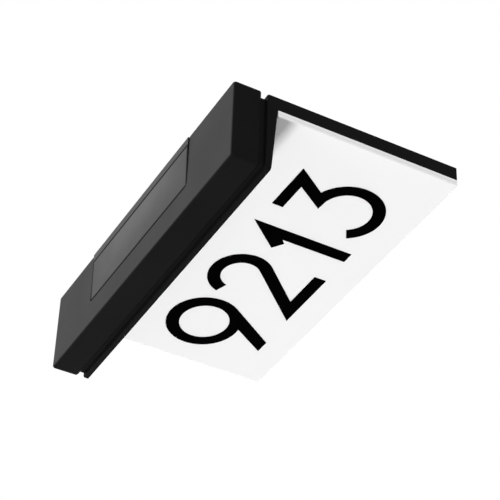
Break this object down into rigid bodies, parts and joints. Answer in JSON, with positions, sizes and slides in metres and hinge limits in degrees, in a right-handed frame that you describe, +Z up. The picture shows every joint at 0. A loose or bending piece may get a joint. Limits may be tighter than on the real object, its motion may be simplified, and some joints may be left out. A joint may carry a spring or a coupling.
{
  "type": "illuminated house number sign",
  "caption": "Wall-hung house number sign: ribbed black back frame with a white face plate below a projecting housing with solar panel and downlight.",
  "frame": {"origin": "centre of the four wall-screw holes, on the wall plane", "axes": "+X to the right seen from the front, +Z up, +Y into the wall, the front faces -Y"},
  "size_m": [0.336, 0.075, 0.207],
  "materials": {
    "housing_black": "fine-grained black moulding",
    "frame_black": "satin black moulding",
    "seal_black": "matt black rubber",
    "acrylic_white": "white acrylic, satin face",
    "foam_tape": "grey foam tape",
    "panel_frame": "satin black moulding",
    "panel_glass": "dark laminated sheet, semi-gloss",
    "cell_blue": "dark blue silicon",
    "frosted_lens": "frosted diffuser strip",
    "board_white": "white circuit board",
    "led_yellow": "white package with yellow phosphor",
    "holder_black": "plain black moulding",
    "battery_sleeve": "blue sleeve, plain",
    "contact_nickel": "nickel-plated spring strip",
    "board_green": "green circuit board",
    "parts_dark": "moulded packages",
    "button_grey": "soft grey button",
    "dome_silicone": "translucent silicone",
    "lead_sleeve": "insulated leads",
    "zinc_plate": "zinc-plated steel sheet",
    "screw_steel": "plated steel"
  },
  "bodies": {
    "sign": {"upper_housing": "housing_black", "back_frame": "frame_black", "housing_gasket": "seal_black", "face_plate": "acrylic_white", "face_tape": "foam_tape", "solar_frame": "panel_frame", "solar_glass": "panel_glass", "solar_cells": "cell_blue", "solar_gasket": "seal_black", "light_lens": "frosted_lens", "lens_gasket": "seal_black", "light_board": "board_white", "light_sources": "led_yellow", "battery_holder": "holder_black", "battery_cells": "battery_sleeve", "battery_contacts": "contact_nickel", "battery_door": "frame_black", "door_gasket": "seal_black", "control_board": "board_green", "board_parts": "parts_dark", "tact_switch": "parts_dark", "button_seal": "seal_black", "return_dome": "dome_silicone", "leads": "lead_sleeve", "wall_bracket": "zinc_plate", "housing_screws": "screw_steel", "door_screws": "screw_steel", "ledge_screws": "screw_steel", "control_screws": "screw_steel", "lock_screws": "screw_steel"},
    "button": {"push_button": "button_grey"}
  },
  "joints": [
    {"name": "button_press", "type": "slide", "parent": "sign", "child": "button", "axis": [0, 0, 1], "range_m": [0, 0.0012], "stiffness_N_per_m": 400, "springref_m": -0.002, "deforming": ["return_dome"]}
  ]
}
